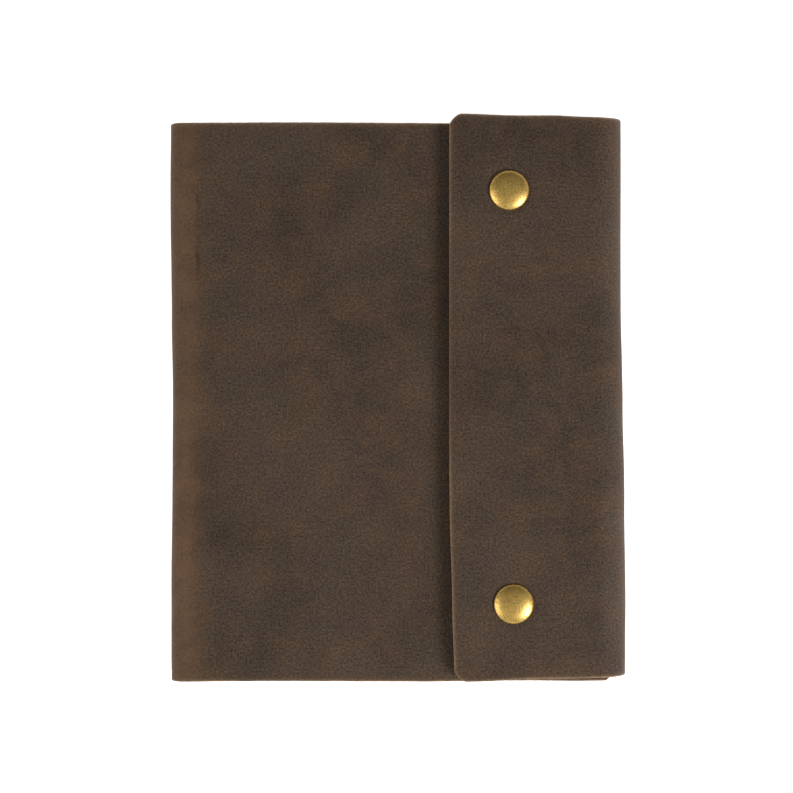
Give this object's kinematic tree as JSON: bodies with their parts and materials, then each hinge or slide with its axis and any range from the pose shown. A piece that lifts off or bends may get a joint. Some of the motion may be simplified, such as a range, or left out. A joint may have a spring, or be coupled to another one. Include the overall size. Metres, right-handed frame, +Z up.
{
  "type": "leather notebook cover",
  "caption": "Wrap-round leather ring-binder cover for A5 leaves, with a fold-over flap closed by press studs, a ring mechanism inside and punched leaves",
  "frame": {"origin": "centre of the closed cover's footprint, on the surface it lies on", "axes": "+X from the spine to the fore edge, +Y to the top of the page, +Z up from the back cover to the front cover"},
  "size_m": [0.176, 0.2187, 0.0308],
  "materials": {
    "cover_leather": "dark brown waxed leather, matte, cloudy pull-up, raw cut edges, suede inside",
    "flap_leather": "the same leather, slightly warmer, with lighter brown rub along the fore edge",
    "antique_brass": "antique plated, dark speckled, satin",
    "nickel": "bright nickel plate on spring steel",
    "leaf_paper": "uncoated cream writing paper, cut edges"
  },
  "bodies": {
    "back_cover": {"back_cover_panel": "cover_leather", "ring_base_plate": "nickel", "top_rivet_post": "nickel", "top_rivet_cap": "nickel", "bottom_rivet_post": "nickel", "bottom_rivet_cap": "nickel", "rear_leaves": "leaf_paper"},
    "spine": {"spine_panel": "cover_leather"},
    "front_cover": {"front_cover_panel": "cover_leather", "upper_snap_stud": "antique_brass", "upper_snap_post": "antique_brass", "lower_snap_stud": "antique_brass", "lower_snap_post": "antique_brass"},
    "front_leaves": {"front_leaves": "leaf_paper"},
    "fore_edge_1": {"fore_edge_strip_1": "flap_leather"},
    "fore_edge_2": {"fore_edge_strip_2": "flap_leather"},
    "fore_edge_3": {"fore_edge_strip_3": "flap_leather"},
    "fore_edge_4": {"fore_edge_strip_4": "flap_leather"},
    "fore_edge_5": {"fore_edge_strip_5": "flap_leather"},
    "fore_edge_6": {"fore_edge_strip_6": "flap_leather"},
    "fore_edge_7": {"fore_edge_strip_7": "flap_leather"},
    "flap": {"closure_flap": "flap_leather", "upper_snap_cap": "antique_brass", "upper_snap_socket": "antique_brass", "lower_snap_cap": "antique_brass", "lower_snap_socket": "antique_brass"},
    "spine_side_rings": {"spine_side_blade": "nickel", "spine_side_half_ring_1": "nickel", "spine_side_half_ring_2": "nickel", "spine_side_half_ring_3": "nickel", "spine_side_half_ring_4": "nickel", "spine_side_half_ring_5": "nickel", "spine_side_half_ring_6": "nickel"},
    "page_side_rings": {"page_side_blade": "nickel", "page_side_half_ring_1": "nickel", "page_side_half_ring_2": "nickel", "page_side_half_ring_3": "nickel", "page_side_half_ring_4": "nickel", "page_side_half_ring_5": "nickel", "page_side_half_ring_6": "nickel"},
    "top_lever": {"top_lever": "nickel"},
    "bottom_lever": {"bottom_lever": "nickel"}
  },
  "joints": [
    {"name": "cover_open", "type": "hinge", "parent": "back_cover", "child": "spine", "pos_m": [-0.08596, 0, 0.00204], "axis": [0, -1, 0], "range_deg": [0, 89.5]},
    {"name": "front_fold", "type": "hinge", "parent": "spine", "child": "front_cover", "pos_m": [-0.08596, 0, 0.02096], "axis": [0, -1, 0], "range_deg": [0, 89.5]},
    {"name": "leaves_turn", "type": "hinge", "parent": "back_cover", "child": "front_leaves", "pos_m": [-0.074, -0.0008, 0.0113], "axis": [0, -1, 0], "range_deg": [0, 182.5]},
    {"name": "fore_edge_bend_1", "type": "hinge", "parent": "back_cover", "child": "fore_edge_1", "pos_m": [0.07814, 0, 0.00124], "axis": [0, 1, 0], "range_deg": [0, 22.12]},
    {"name": "fore_edge_bend_2", "type": "hinge", "parent": "fore_edge_1", "child": "fore_edge_2", "pos_m": [0.08209, 0, 0.00288], "axis": [0, 1, 0], "range_deg": [0, 22.12]},
    {"name": "fore_edge_bend_3", "type": "hinge", "parent": "fore_edge_2", "child": "fore_edge_3", "pos_m": [0.08512, 0, 0.00591], "axis": [0, 1, 0], "range_deg": [0, 22.12]},
    {"name": "fore_edge_bend_4", "type": "hinge", "parent": "fore_edge_3", "child": "fore_edge_4", "pos_m": [0.08676, 0, 0.00986], "axis": [0, 1, 0], "range_deg": [0, 22.12]},
    {"name": "fore_edge_bend_5", "type": "hinge", "parent": "fore_edge_4", "child": "fore_edge_5", "pos_m": [0.08676, 0, 0.01834], "axis": [0, 1, 0], "range_deg": [0, 22.12]},
    {"name": "fore_edge_bend_6", "type": "hinge", "parent": "fore_edge_5", "child": "fore_edge_6", "pos_m": [0.08512, 0, 0.02229], "axis": [0, 1, 0], "range_deg": [0, 22.12]},
    {"name": "fore_edge_bend_7", "type": "hinge", "parent": "fore_edge_6", "child": "fore_edge_7", "pos_m": [0.08209, 0, 0.02532], "axis": [0, 1, 0], "range_deg": [0, 22.12]},
    {"name": "flap_open", "type": "hinge", "parent": "fore_edge_7", "child": "flap", "pos_m": [0.07814, 0, 0.02696], "axis": [0, 1, 0], "range_deg": [0, 22.12]},
    {"name": "rings_open", "type": "hinge", "parent": "back_cover", "child": "spine_side_rings", "pos_m": [-0.0796, -0.0008, 0.00305], "axis": [0, -1, 0], "range_deg": [0, 10]},
    {"name": "page_side_rings_open", "type": "hinge", "parent": "back_cover", "child": "page_side_rings", "pos_m": [-0.0684, -0.0008, 0.00305], "axis": [0, 1, 0], "range_deg": [0, 10]},
    {"name": "top_lever_press", "type": "hinge", "parent": "back_cover", "child": "top_lever", "pos_m": [-0.074, 0.0895, 0.0033], "axis": [-1, 0, 0], "range_deg": [0, 20]},
    {"name": "bottom_lever_press", "type": "hinge", "parent": "back_cover", "child": "bottom_lever", "pos_m": [-0.074, -0.0911, 0.0033], "axis": [1, 0, 0], "range_deg": [0, 20]}
  ],
  "couplings": [
    {"joint": "front_fold", "follows": "cover_open", "ratio": 1},
    {"joint": "leaves_turn", "follows": "cover_open", "ratio": 2.039},
    {"joint": "fore_edge_bend_1", "follows": "flap_open", "ratio": 1},
    {"joint": "fore_edge_bend_2", "follows": "flap_open", "ratio": 1},
    {"joint": "fore_edge_bend_3", "follows": "flap_open", "ratio": 1},
    {"joint": "fore_edge_bend_4", "follows": "flap_open", "ratio": 1},
    {"joint": "fore_edge_bend_5", "follows": "flap_open", "ratio": 1},
    {"joint": "fore_edge_bend_6", "follows": "flap_open", "ratio": 1},
    {"joint": "fore_edge_bend_7", "follows": "flap_open", "ratio": 1},
    {"joint": "page_side_rings_open", "follows": "rings_open", "ratio": 1},
    {"joint": "top_lever_press", "follows": "rings_open", "ratio": 2},
    {"joint": "bottom_lever_press", "follows": "rings_open", "ratio": 2}
  ]
}
